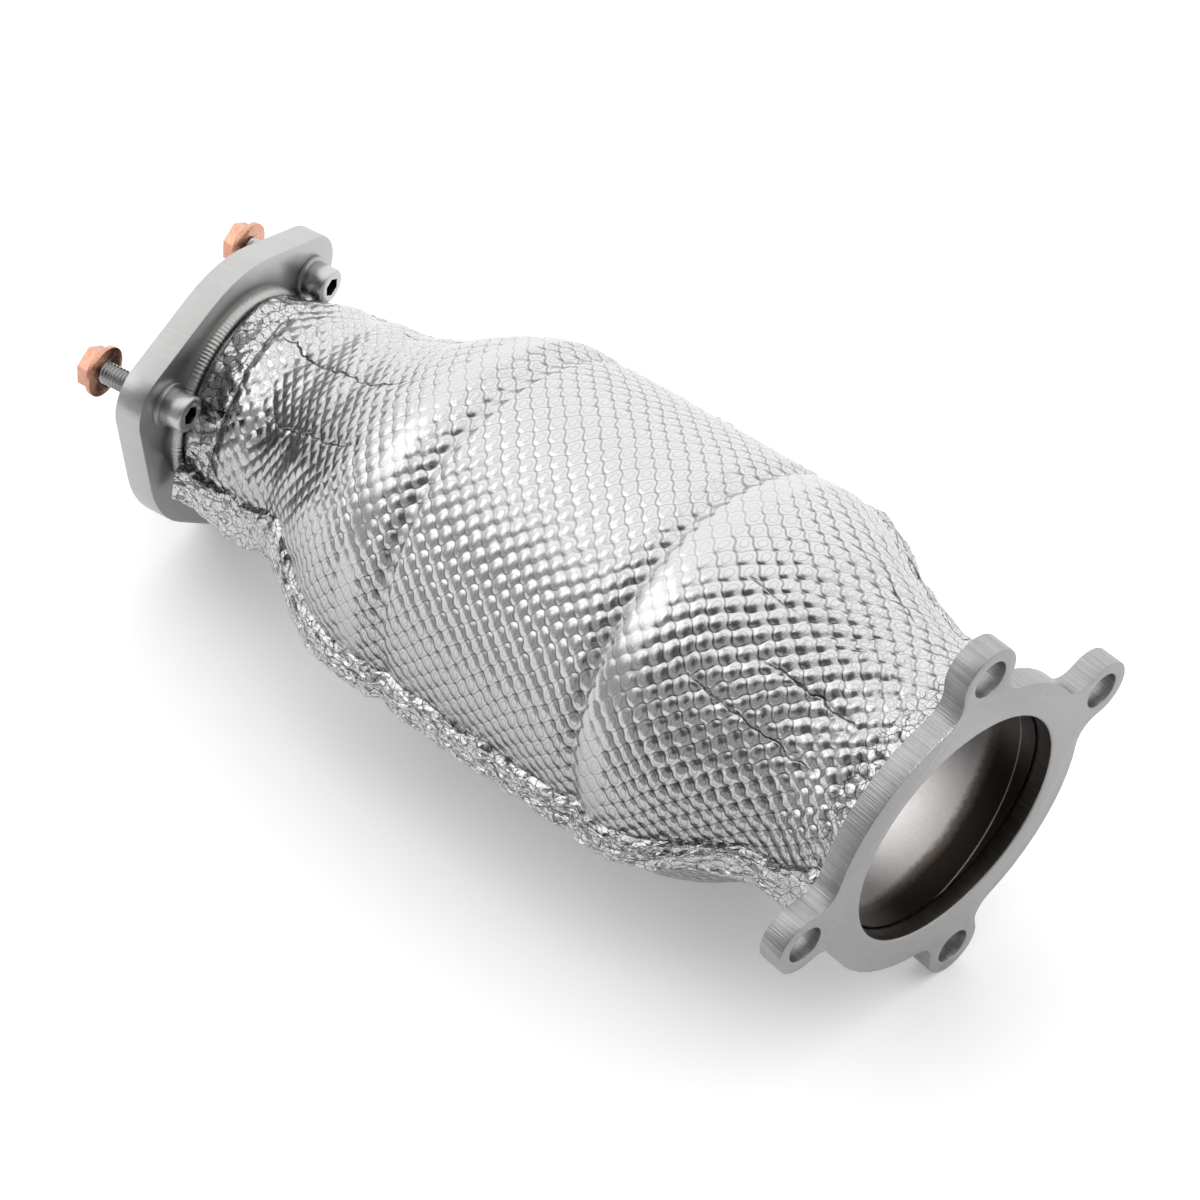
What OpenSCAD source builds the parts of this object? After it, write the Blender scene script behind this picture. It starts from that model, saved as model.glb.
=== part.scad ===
// Downpipe with catalytic converter: four-ear inlet flange, insulated catalyst body
// under a two-piece embossed foil shield, and a three-bolt outlet flange with its fixings.
// Origin: centre of the inlet bore on the sealing face. X runs along the body axis, from the
// outlet to the inlet, so the outlet lies at negative X. Z is up. Millimetres.

/* [Overall] */
// distance from the inlet sealing face to the body side of the outlet flange
run_length = 310; // [300:1:330]
// sideways offset of the body axis from the inlet bore centre
axis_y = 3.5; // [2:0.5:5]
// height of the body axis above the inlet bore centre
axis_z = 3; // [2:0.5:4]

/* [Inlet flange] */
// bore diameter of the inlet
inlet_bore_d = 79; // [77:0.5:80]
// plate thickness
inlet_t = 8; // [8:0.5:10]
// distance from the bore edge to the centre of an ear hole
inlet_hole_gap = 21.5; // [21:0.25:23]
// diameter of the ear holes
inlet_hole_d = 12; // [10:0.5:12.5]
// radius of each rounded ear
inlet_ear_r = 10.2; // [9.8:0.1:11]
// width of the plate round the bore, between the ears
inlet_land = 11.5; // [11:0.25:12]
// hollow fillet radius between an ear and the core
inlet_fillet_r = 8; // [7:0.5:9]
// turn of the inlet normal to the front
inlet_yaw = -5.2; // [-6:0.2:-4]
// dip of the inlet normal
inlet_dip = -3.5; // [-4.5:0.25:-2.5]

/* [Outlet flange] */
// plate thickness
outlet_t = 10; // [8:0.5:12]
// outer diameter of the outlet tube
outlet_tube_d = 70; // [69:0.5:70.5]
// wall of the outlet tube
outlet_wall = 2; // [1.5:0.25:2.5]
// distance from the tube to the centre of a screw
outlet_screw_gap = 12; // [12:0.25:14]
// corner radius round each screw
outlet_ear_r = 15; // [14:0.5:16]
// width of the plate round the tube, between the corners
outlet_land = 15.6; // [15:0.2:17]
// turn of the outlet normal toward the back
outlet_yaw = 12.9; // [12:0.3:14]
// dip of the outlet normal
outlet_dip = -7.8; // [-8.5:0.25:-7]
// sideways place of the outlet centre from the inlet centre
outlet_y = -1.4; // [-2:0.2:-1]
// height of the outlet centre from the inlet centre
outlet_z = -3.2; // [-4:0.2:-2.6]

/* [Catalyst body] */
// outer radius of the steel body tube
can_r = 56; // [55:0.5:56.5]
// sheet thickness of body and cones
sheet = 1.5; // [1.2:0.1:1.8]
// length of the body tube
can_length = 96; // [90:1:98]
// distance from the inlet face to the body tube
can_start = 90; // [88:1:93]
// length of the inlet cone
cone_in_l = 52; // [50:1:54]
// straight length from the outlet plate to its cone
outlet_straight = 28; // [26:1:30]
// half width of a butt weld
bead = 1.5; // [1.2:0.1:1.8]
// inset of the block from each end of the body tube
core_inset = 6; // [4:1:8]
// pitch of the catalyst channels
cell_pitch = 9; // [8.5:0.25:10]

/* [Heat shield] */
// room for the mat between the body and the outside of the foil
shield_gap = 8.4; // [8:0.2:10]
// foil thickness
foil = 1; // [0.8:0.1:1.1]
// depth left under the foil for its folds
pleat = 1; // [0.9:0.1:1.2]
// height of the embossing
emboss = 0.9; // [0.5:0.1:1]
// depth of the two ring grooves
groove_depth = 1.5; // [1:0.1:2]
// reach of the rolled hem
hem_reach = 6.4; // [5.5:0.1:7]
// how far the outlet shoulder leans from front to back
shoulder_tilt = 8; // [6:0.5:8.5]
// angle of the front seam round the body axis
seam_angle = 200; // [197:1:203]
// extra fullness of the lower half near the inlet
belly = 2.6; // [1.5:0.1:3]

/* [Fixings] */
// nominal thread diameter
thread_d = 8; // [7.6:0.1:8.2]
// length of the cap screws
screw_length = 35; // [33:1:38]
// distance from the plate to the nut
nut_gap = 15; // [12:0.5:16]

/* [Hidden] */
seat = 0.2;
ins_gap = 0.55;
bolts = 3;
ear_angles = [88.4, 18.7, 183.6, 278.6];
bolt_start = 30.9;
head_d = 1.625 * thread_d;
head_h = thread_d;
washer_d = 2 * thread_d;
washer_t = 1.6;
nut_flange_d = 2.24 * thread_d;
nut_h = 0.85 * thread_d;
thread_p = 1.25;
inlet_r = inlet_bore_d / 2;
inlet_pcd = inlet_bore_d + 2 * inlet_hole_gap;
inlet_core_r = inlet_r + inlet_land;
neck_in_r = inlet_r + 0.9;
tube_r = outlet_tube_d / 2;
outlet_pcd = outlet_tube_d + 2 * outlet_screw_gap;
outlet_core_r = tube_r + outlet_land;
shield_r = can_r + shield_gap;
shoulder_l = 60;
x_out = -run_length;
x_can0 = -can_start - can_length;
x_can1 = -can_start;
x_cone_out = x_out + outlet_straight;
x_cone_in = cone_in_l - can_start;
inlet_c = [0, 0, 0];
outlet_c = [x_out, outlet_y, outlet_z];
n_in = dir(inlet_yaw, inlet_dip);
n_out = dir(outlet_yaw, outlet_dip);
// foil stations, counted from the outlet to the inlet
x_foil0 = x_out + 9;
x_foil1 = -13;
g1 = x_can0 + 8.7;
g2 = x_can1 - 6;
cols = 30;
incols = 10;

function dir(yaw, dip) = [cos(dip) * cos(yaw), cos(dip) * sin(yaw), sin(dip)];
function unit(v) = v / norm(v);
function clamp(t) = min(1, max(0, t));
function ease(t) = let (c = clamp(t)) c * c * (3 - 2 * c);
function mix(a, b, t) = a * (1 - t) + b * t;
function bell(d, w) = exp(-d * d / (w * w));

// Centre line: straight along each flange normal, eased into the body axis between.
x_bend_out = x_cone_out;
x_axis_out = x_can0 - 50;
x_bend_in = x_cone_in;
x_axis_in = -85;
function along(c, n, x) = c + n * ((x - c[0]) / n[0]);
function on_axis(x) = [x, axis_y, axis_z];
function centre(x) =
  x <= x_bend_out ? along(outlet_c, n_out, x)
  : x < x_axis_out
    ? let (e = along(outlet_c, n_out, x_bend_out) - on_axis(x_bend_out))
      on_axis(x) + e * (1 - ease((x - x_bend_out) / (x_axis_out - x_bend_out)))
  : x <= x_axis_in ? on_axis(x)
  : x < x_bend_in
    ? let (e = along(inlet_c, n_in, x_bend_in) - on_axis(x_bend_in))
      on_axis(x) + e * ease((x - x_axis_in) / (x_bend_in - x_axis_in))
  : along(inlet_c, n_in, x);
function normal(x) =
  x < x_can0
    ? unit(mix(n_out, [1, 0, 0], ease((x - x_bend_out) / (x_axis_out - x_bend_out))))
    : unit(mix([1, 0, 0], n_in, ease((x - x_axis_in) / (x_bend_in - x_axis_in))));
function side(n) = unit(cross([0, 0, 1], n));
function lift(n) = cross(n, side(n));

// Point at radius r and angle a in the section plane at station x.
function spot(x, r, a) = let (n = normal(x)) centre(x) + (side(n) * cos(a) + lift(n) * sin(a)) * r;
// The same with a distance d square to the seam plane, counted from angle a.
function off(x, r, a, d) = spot(x, r, a + asin(d / r));

// Steel skin radius under the insulation, and foil radius over it.
function steel_r(x) =
  x < x_can0 ? mix(tube_r, can_r, ease(pow(clamp((x - x_cone_out) / (x_can0 - x_cone_out)), 2)))
  : x < x_can1 ? can_r
  : mix(can_r, neck_in_r, ease((x - x_can1) / (x_cone_in - x_can1)));
function groove(x) = groove_depth * (bell(x - g1, 3) + bell(x - g2, 3));
// The outlet shoulder is tilted, and the inlet shoulder starts sooner at the back seam.
function lag(a) = -shoulder_tilt * cos(a - seam_angle - 5);
function lead(x, a) = 9 * pow(max(0, cos(a - seam_angle + 180)), 4) * ease((x + 88) / 28);
function foil_r(x, a) =
  x < x_can0 + 12
    ? mix(mix(tube_r + 3.2, tube_r + 7.5, clamp((x - x_foil0) / 18)), shield_r,
        ease((x - lag(a) - x_can0 + shoulder_l + 6) / shoulder_l)) - groove(x)
    : mix(shield_r, neck_in_r + 3.8, ease((x + lead(x, a) - x_can1 - 5) / shoulder_l)) - groove(x);
// Folds pressed into the foil near both necks: line from [x, angle] to [x, angle], depth.
folds = [
  [[-298, 118], [-262, 128], 1], [[-262, 128], [-240, 118], 0.8],
  [[-290, 158], [-256, 162], 0.9], [[-72, 142], [-28, 150], 1], [[-80, 112], [-34, 122], 0.9]];
function fold_gap(p, a, b) =
  let (q = p - a, s = b - a, t = clamp((q * s) / (s * s))) norm(q - s * t);
function fold(x, a, i = 0) = i >= len(folds) ? 0
  : folds[i][2] * bell(fold_gap([x, 0.75 * a],
      [folds[i][0][0], 0.75 * folds[i][0][1]], [folds[i][1][0], 0.75 * folds[i][1][1]]), 5)
    + fold(x, a, i + 1);
function fullness(x, a) = belly * ease((x + 125) / 30) * (1 - ease((x + 60) / 25))
  * max(0, sin(a - seam_angle));
function skin_r(x, a, j, k, last) = foil_r(x, a) + fullness(x, a) - fold(x, a)
  + (j > 0 && j < cols && k > 0 && k < last ? emboss * ((j + k) % 2 - 0.5) : 0);

// Stations: even steps in the necks and shoulders, with one on each groove.
function steps(a, b, n) = [for (i = [0:n - 1]) a + (b - a) * i / n];
stations = concat(steps(x_foil0, g1 - 4, 15), [g1 - 4, g1], steps(g1 + 4, g2 - 4, 9),
  [g2 - 4, g2], steps(g2 + 4, x_foil1, 10), [x_foil1]);
last_k = len(stations) - 1;
ins_stations = [for (i = [1:last_k - 1]) stations[i]];

// Joins equal loops of points into one closed skin. The caps come as index lists.
module skin(loops, caps) {
  m = len(loops[0]);
  n = len(loops);
  pts = [for (l = loops) for (p = l) p];
  walls = [for (i = [0:n - 2]) for (j = [0:m - 1])
    each [[i * m + j, i * m + (j + 1) % m, (i + 1) * m + (j + 1) % m],
      [i * m + j, (i + 1) * m + (j + 1) % m, (i + 1) * m + j]]];
  low = [for (c = caps) [for (i = [len(c) - 1:-1:0]) c[i]]];
  high = [for (c = caps) [for (i = c) (n - 1) * m + i]];
  polyhedron(points = pts, faces = concat(walls, low, high), convexity = 6);
}

// Closed half shell: outer arc of cols steps, inner arc of incols steps, edge points between.
function arc_caps(e) = let (q = cols / incols, b0 = cols + 1 + e)
  concat([for (k = [0:incols - 1])
    concat([for (j = [0:q]) k * q + j], [b0 + incols - k - 1, b0 + incols - k])],
    [concat([cols], [for (j = [1:e]) cols + j], [b0])],
    [concat([0, b0 + incols], [for (j = [1:e]) b0 + incols + j])]);

// upper = 1 for the half above the seam, -1 for the half below it.
function half_loop(x, k, upper, edge) =
  let (a0 = upper > 0 ? seam_angle : seam_angle + 180, a1 = a0 - 180,
    r0 = foil_r(x, a0), r1 = foil_r(x, a1), w = upper > 0 ? foil + 0.5 : 4.6, s = 0.15,
    b0 = a0 - asin(w / r0), b1 = a1 + asin(w / r1), d = foil + pleat)
  concat(
    [for (j = [0:cols]) let (a = b0 + (b1 - b0) * j / cols)
      spot(x, skin_r(x, a, j, k, last_k), a)],
    [for (j = [0:len(edge) - 1]) off(x, r1 + edge[j][0], a1, edge[j][1])],
    [for (j = [0:incols]) let (c0 = a1 + asin(s / (r1 - d)), c1 = a0 - asin(s / (r0 - d)),
      a = c0 + (c1 - c0) * j / incols) spot(x, foil_r(x, a) - d + fullness(x, a), a)],
    [for (j = [len(edge) - 1:-1:0]) off(x, r0 + edge[j][0], a0, -edge[j][1])]);

// The upper foil ends in a flat lip, and the lower foil in a roll that closes on it.
module half_shield(upper) {
  loops = [for (k = [0:last_k]) let (x = stations[k],
      c = 0.7 * sin(k * 137) * (1 - 0.4 * ease((x - x_can0) / 20) * (1 - ease((x + 100) / 20))))
    half_loop(x, k, upper, upper > 0
      ? [[hem_reach - 1 + c, foil + 0.3], [hem_reach - 1 + c, 0.15]]
      : [[1.6, 4.7 + c], [hem_reach - 1.6, 3.9 + c], [hem_reach + c, 1.9],
         [hem_reach - 1 + c, 0.15]])];
  skin(loops, arc_caps(upper > 0 ? 2 : 4));
}

function mat_loop(x, upper) =
  let (a0 = upper > 0 ? seam_angle : seam_angle + 180, a1 = a0 - 180,
    d = foil + pleat + ins_gap, s = 0.15, ri = (steel_r(x) + ins_gap) / cos(90 / incols),
    t0 = asin(s / (foil_r(x, a0) - d)), t1 = asin(s / (foil_r(x, a1) - d)))
  concat(
    [for (j = [0:incols]) let (a = a0 - t0 - (180 - t0 - t1) * j / incols)
      spot(x, foil_r(x, a) - d + fullness(x, a), a)],
    [for (j = [0:incols]) let (t = asin(s / ri), a = a1 + t + (180 - 2 * t) * j / incols)
      spot(x, ri, a)]);
mat_caps = [for (k = [0:incols - 1]) [k, k + 1, 2 * incols - k, 2 * incols + 1 - k]];
module half_mat(upper) skin([for (x = ins_stations) mat_loop(x, upper)], mat_caps);

// Steel cone between two stations: the wall follows the same centre line as the foil.
round_cols = 36;
function ring_loop(x, r) = [for (j = [0:round_cols - 1]) spot(x, r, -360 * j / round_cols)];
module steel_cone(a, b, n) {
  m = round_cols;
  xs = [for (i = [0:n]) a + (b - a) * i / n];
  q = (n + 1) * m;
  walls = [for (i = [0:n - 1]) for (j = [0:m - 1])
    let (s = i * m + j, t = i * m + (j + 1) % m)
    each [[s, t, t + m], [s, t + m, s + m], [q + t, q + s, q + t + m], [q + t + m, q + s, q + s + m]]];
  ends = [for (j = [0:m - 1]) let (t = (j + 1) % m)
    each [[t, j, q + j, q + t], [n * m + j, n * m + t, q + n * m + t, q + n * m + j]]];
  polyhedron(points = concat([for (x = xs) each ring_loop(x, steel_r(x))],
    [for (x = xs) each ring_loop(x, steel_r(x) - sheet)]), faces = concat(walls, ends), convexity = 6);
}

// Places children with their Z along n at point c, and X along the horizontal side axis.
module at(c, n) {
  u = side(n);
  v = lift(n);
  multmatrix([[u[0], v[0], n[0], c[0]], [u[1], v[1], n[1], c[1]], [u[2], v[2], n[2], c[2]]])
    children();
}
module ring(r1, r0, h) difference() {
  cylinder(r = r1, h = h, $fn = 96);
  translate([0, 0, -1]) cylinder(r = r0, h = h + 2, $fn = 96);
}

// Outline of the inlet plate: ear arc, hollow fillet, core arc, hollow fillet, next ear.
function arc(c, r, a, b, n) = [for (i = [0:n]) let (t = a + (b - a) * i / n)
  c + r * [cos(t), sin(t)]];
ear_p = inlet_pcd / 2;
fil_p = inlet_core_r + inlet_fillet_r;
fil_a = acos((ear_p * ear_p + fil_p * fil_p - pow(inlet_ear_r + inlet_fillet_r, 2))
  / (2 * ear_p * fil_p));
fil_b = asin(fil_p * sin(fil_a) / (inlet_ear_r + inlet_fillet_r));
function pol(r, a) = r * [cos(a), sin(a)];
function ear_outline(a) = concat(
  arc(pol(fil_p, a - fil_a), inlet_fillet_r, a - fil_a + 180, a + fil_b, 6),
  arc(pol(ear_p, a), inlet_ear_r, a + fil_b - 180, a - fil_b + 180, 14),
  arc(pol(fil_p, a + fil_a), inlet_fillet_r, a - fil_b, a + fil_a - 180, 6));
ears = [ear_angles[1], ear_angles[0], ear_angles[2], ear_angles[3]];
function core_part(a, b) = let (n = ceil((b - a - 2 * fil_a) / 7))
  [for (i = [1:n - 1]) pol(inlet_core_r, a + fil_a + (b - a - 2 * fil_a) * i / n)];
inlet_outline = [for (i = [0:3]) let (a = ears[i], b = i < 3 ? ears[i + 1] : ears[0] + 360)
  each concat(ear_outline(a), core_part(a, b))];

module inlet_flange() color([0.72, 0.71, 0.69]) at(inlet_c, n_in) difference() {
  translate([0, 0, -inlet_t]) linear_extrude(inlet_t) polygon(inlet_outline);
  translate([0, 0, -inlet_t - 1]) cylinder(r = inlet_r, h = inlet_t + 2, $fn = 96);
  translate([0, 0, -inlet_t - 1]) cylinder(r = neck_in_r + seat, h = 3, $fn = 96);
  for (a = ear_angles) rotate(a) translate([ear_p, 0, -inlet_t - 1])
    cylinder(d = inlet_hole_d, h = inlet_t + 2, $fn = 48);
  translate([0, 0, -0.5]) cylinder(r1 = inlet_r, r2 = inlet_r + 0.6, h = 0.6, $fn = 96);
}

module inlet_weld() color([0.5, 0.47, 0.44]) at(inlet_c, n_in) translate([0, 0, -inlet_t])
  rotate_extrude($fn = 96) polygon([[neck_in_r + 0.05, 0], [neck_in_r + 2.6, 0],
    [neck_in_r + 2.3, -1.1], [neck_in_r + 1.1, -2.4], [neck_in_r + 0.05, -2.8]]);

module inlet_cone() color([0.45, 0.4, 0.36])
  steel_cone(x_can1 + bead, (2 - inlet_t) * n_in[0], 10);

module body_bead(x) translate([x, axis_y, axis_z]) rotate([0, 90, 0])
  rotate_extrude($fn = 96) polygon([[can_r - sheet, -bead], [can_r, -bead],
    [can_r + 0.2, 0], [can_r, bead], [can_r - sheet, bead]]);
module inlet_cone_weld() color([0.5, 0.47, 0.44]) body_bead(x_can1);
module outlet_cone_weld() color([0.5, 0.47, 0.44]) body_bead(x_can0);

module body_tube() color([0.62, 0.6, 0.58]) translate([x_can0 + bead, axis_y, axis_z])
  rotate([0, 90, 0]) ring(can_r, can_r - sheet, can_length - 2 * bead);

// Catalyst core: hexagonal channels through a round block.
core_r = can_r - sheet - seat;
core_n = floor((core_r - cell_pitch) / cell_pitch);
module catalyst_core() color([0.42, 0.4, 0.38]) translate([x_can0 + core_inset, axis_y, axis_z])
  rotate([0, 90, 0]) difference() {
    cylinder(r = core_r, h = can_length - 2 * core_inset, $fn = 96);
    for (i = [-core_n:core_n]) for (j = [-core_n:core_n])
      let (p = [cell_pitch * (i + j / 2), cell_pitch * j * sqrt(3) / 2])
      if (norm(p) < core_r - cell_pitch * 0.72)
        translate([p[0], p[1], -1]) rotate(30)
          cylinder(r = (cell_pitch - 1.2) / sqrt(3), h = can_length, $fn = 6);
  }

module outlet_cone() color([0.6, 0.58, 0.56])
  steel_cone(x_cone_out + bead, x_can0 - bead, 8);

tube_end = (x_cone_out - x_out) / n_out[0];
module outlet_tube_weld() color([0.5, 0.47, 0.44]) at(outlet_c, n_out)
  translate([0, 0, tube_end - bead]) rotate_extrude($fn = 96)
    polygon([[tube_r - outlet_wall, 0], [tube_r - 0.1, 0], [tube_r, bead * 0.6],
      [tube_r - 0.1, bead * 1.2], [tube_r - outlet_wall, bead * 1.2]]);
module outlet_tube() color([0.66, 0.64, 0.62]) at(outlet_c, n_out)
  translate([0, 0, -outlet_t + 3]) ring(tube_r, tube_r - outlet_wall, tube_end - bead + outlet_t - 3);
module outlet_weld() color([0.62, 0.58, 0.54]) at(outlet_c, n_out)
  rotate_extrude($fn = 96) polygon([[tube_r, 0], [tube_r + 3.5, 0], [tube_r + 3.1, 1.3],
    [tube_r + 1.6, 3], [tube_r, 3.6]]);

// Outlet plate: core circle and three corners joined by their common tangents.
tan_a = acos((outlet_core_r - outlet_ear_r) / (outlet_pcd / 2));
outlet_outline = [for (i = [0:bolts - 1]) let (a = bolt_start + i * 120) each concat(
  arc(pol(outlet_pcd / 2, a), outlet_ear_r, a - tan_a, a + tan_a, 10),
  arc([0, 0], outlet_core_r, a + tan_a, a + 120 - tan_a, 6))];
module outlet_flange() color([0.7, 0.69, 0.67]) at(outlet_c, n_out)
  translate([0, 0, -outlet_t]) difference() {
    linear_extrude(outlet_t) polygon(outlet_outline);
    translate([0, 0, -1]) cylinder(r = tube_r - outlet_wall, h = outlet_t + 2, $fn = 96);
    translate([0, 0, 3]) cylinder(r = tube_r, h = outlet_t, $fn = 96);
    for (i = [0:bolts - 1]) rotate(bolt_start + i * 120) translate([outlet_pcd / 2, 0, -1])
      cylinder(d = thread_d + 1, h = outlet_t + 2, $fn = 48);
  }

module at_bolt(i) at(outlet_c, n_out) rotate(bolt_start + i * 120)
  translate([outlet_pcd / 2, 0, 0]) children();

// Cap screw: socket head over a washer, plain neck in the plate, ringed thread beyond it.
thread_n = floor((screw_length - outlet_t - washer_t - 3) / thread_p);
function teeth(n) = [for (i = [n:-1:1]) let (z = -outlet_t - 2 - i * thread_p)
  each [[thread_d / 2 - 0.7, z], [thread_d / 2 - 0.05, z + thread_p / 2]]];
module cap_screw(i) color([0.68, 0.66, 0.62]) at_bolt(i) difference() {
  rotate_extrude($fn = 48) polygon(concat(
    [[0, washer_t - screw_length], [thread_d / 2 - 1, washer_t - screw_length]],
    teeth(thread_n - 1),
    [[thread_d / 2 - 0.7, -outlet_t - 2], [thread_d / 2 - 0.05, -outlet_t - 1.4],
     [thread_d / 2 - 0.05, washer_t],
     [head_d / 2, washer_t], [head_d / 2, washer_t + head_h - 0.7],
     [head_d / 2 - 0.7, washer_t + head_h], [0, washer_t + head_h]]));
  translate([0, 0, washer_t + head_h / 2]) cylinder(d = 0.866 * thread_d, h = head_h, $fn = 6);
}
module washer(i) color([0.6, 0.58, 0.55]) at_bolt(i)
  ring(washer_d / 2, thread_d / 2 + 0.2, washer_t);
module nut(i) color([0.8, 0.47, 0.36]) at_bolt(i) translate([0, 0, -outlet_t - nut_gap - nut_h])
  difference() {
    union() {
      cylinder(d = 1.86 * thread_d, h = nut_h, $fn = 6);
      translate([0, 0, nut_h - 3]) cylinder(d1 = 1.7 * thread_d, d2 = nut_flange_d, h = 1.4, $fn = 48);
      translate([0, 0, nut_h - 1.6]) cylinder(d = nut_flange_d, h = 1.6, $fn = 48);
    }
    translate([0, 0, -1]) cylinder(d = thread_d, h = nut_h + 2, $fn = 48);
  }

module insulation_upper() color([0.86, 0.84, 0.8]) half_mat(1);
module insulation_lower() color([0.86, 0.84, 0.8]) half_mat(-1);
module shield_upper() color([0.83, 0.83, 0.83]) half_shield(1);
module shield_lower() color([0.78, 0.78, 0.78]) half_shield(-1);
module cap_screw_1() cap_screw(0);
module cap_screw_2() cap_screw(1);
module cap_screw_3() cap_screw(2);
module washer_1() washer(0);
module washer_2() washer(1);
module washer_3() washer(2);
module nut_1() nut(0);
module nut_2() nut(1);
module nut_3() nut(2);

inlet_flange();
inlet_weld();
inlet_cone();
inlet_cone_weld();
body_tube();
catalyst_core();
outlet_cone_weld();
outlet_cone();
outlet_tube_weld();
outlet_tube();
outlet_weld();
outlet_flange();
insulation_upper();
insulation_lower();
shield_upper();
shield_lower();
cap_screw_1();
cap_screw_2();
cap_screw_3();
washer_1();
washer_2();
washer_3();
nut_1();
nut_2();
nut_3();
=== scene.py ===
"""Dresses the downpipe with catalytic converter: pressed foil shield, plates, welds and fixings."""

import logging
import math
from dataclasses import dataclass
from enum import Enum
from typing import Callable, Sequence

import bmesh
import bpy
import numpy as np
from mathutils import Matrix, Vector


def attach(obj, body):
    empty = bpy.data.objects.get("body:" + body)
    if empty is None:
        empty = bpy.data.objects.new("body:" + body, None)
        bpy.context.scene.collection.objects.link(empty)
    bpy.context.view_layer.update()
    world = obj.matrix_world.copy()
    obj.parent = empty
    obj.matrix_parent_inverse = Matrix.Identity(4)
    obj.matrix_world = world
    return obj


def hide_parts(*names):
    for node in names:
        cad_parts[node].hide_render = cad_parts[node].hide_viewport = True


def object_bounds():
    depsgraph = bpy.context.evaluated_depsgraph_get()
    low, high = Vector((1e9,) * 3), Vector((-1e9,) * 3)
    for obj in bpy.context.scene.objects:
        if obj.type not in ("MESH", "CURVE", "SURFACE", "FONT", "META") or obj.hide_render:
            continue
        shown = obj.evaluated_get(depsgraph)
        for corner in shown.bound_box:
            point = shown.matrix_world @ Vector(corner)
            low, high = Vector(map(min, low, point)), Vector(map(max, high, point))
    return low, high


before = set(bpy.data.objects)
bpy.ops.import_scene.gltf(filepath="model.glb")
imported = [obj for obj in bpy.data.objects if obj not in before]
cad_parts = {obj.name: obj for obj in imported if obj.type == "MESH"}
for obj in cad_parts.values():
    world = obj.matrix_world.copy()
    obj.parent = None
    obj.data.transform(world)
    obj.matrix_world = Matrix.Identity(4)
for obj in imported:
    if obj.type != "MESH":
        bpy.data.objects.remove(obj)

LOG = logging.getLogger("downpipe")
CAD_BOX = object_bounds()
MM = 0.001
BODY = "root"
MERGE = 0.00001  # points closer than this many metres are one point
LAST = 0.9999  # share of a closed turn from which a point is the first one again

Array = np.ndarray
Piece = bpy.types.Object
Material = bpy.types.Material
NodeTree = bpy.types.NodeTree
Pair = tuple[float, float]
Triple = tuple[float, float, float]


class Half(Enum):
    """The two halves of the foil shield."""

    UPPER = "upper"
    LOWER = "lower"


class Seam(Enum):
    """The two seams that join the halves."""

    FRONT = "front"
    BACK = "back"


def ease(t: Array) -> Array:
    """Smooth step from 0 to 1, held outside that span."""
    c = np.clip(t, 0.0, 1.0)
    return c * c * (3 - 2 * c)


def bell(d: Array, width: float) -> Array:
    """Smooth bump of height 1 and the given half width."""
    return np.exp(-(d * d) / (width * width))


def unit(v: Array) -> Array:
    """Vectors of length 1."""
    return v / np.linalg.norm(v, axis=-1, keepdims=True)


def heading(yaw: float, dip: float) -> Array:
    """Unit vector for a turn and a dip in degrees."""
    y, d = math.radians(yaw), math.radians(dip)
    return np.array([math.cos(d) * math.cos(y), math.cos(d) * math.sin(y), math.sin(d)])


def ripple(x: Array, y: Array, wave: float, seed: int) -> Array:
    """Slow uneven waves over a sheet.

    Args:
        x: place along the sheet in mm.
        y: place across the sheet in mm.
        wave: typical wavelength in mm.
        seed: picks the pattern.

    Returns:
        Heights between about -1 and 1.
    """
    rng = np.random.default_rng(seed)
    total = np.zeros_like(x)
    for _ in range(7):
        turn, phase = rng.uniform(0, math.tau), rng.uniform(0, math.tau)
        size = rng.uniform(0.7, 1.5)
        k = math.tau / (wave * size)
        total = total + np.sin(k * (x * math.cos(turn) + y * math.sin(turn)) + phase)
    return total / 3.2


def crumple(x: Array, y: Array, cell: float, seed: int) -> Array:
    """Creased facets, as in squashed foil: flat triangles between random corner heights.

    Args:
        x: place along the sheet in mm.
        y: place across the sheet in mm.
        cell: size of a facet in mm.
        seed: picks the pattern.

    Returns:
        Heights between 0 and 1.
    """
    rng = np.random.default_rng(seed)
    table = rng.random(4096)
    px = x / cell + 0.55 * ripple(x, y, cell * 3.1, seed + 1)
    py = y / cell + 0.55 * ripple(x, y, cell * 2.7, seed + 2)
    i, j = np.floor(px).astype(int), np.floor(py).astype(int)
    u, v = px - i, py - j

    def corner(a: Array, b: Array) -> Array:
        """Random height of a lattice corner."""
        return table[(a * 73 + b * 179 + (a * b) % 61 * 17) % 4096]

    low = corner(i, j) * (1 - u - v) + corner(i + 1, j) * u + corner(i, j + 1) * v
    high = (corner(i + 1, j + 1) * (u + v - 1) + corner(i, j + 1) * (1 - u)
            + corner(i + 1, j) * (1 - v))
    return np.where(u + v < 1, low, high)


def square_to(n: Array) -> tuple[Array, Array]:
    """Level and upward unit directions across a unit direction."""
    side = unit(np.cross([0, 0, 1.0], n))
    return side, np.cross(n, side)


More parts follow.
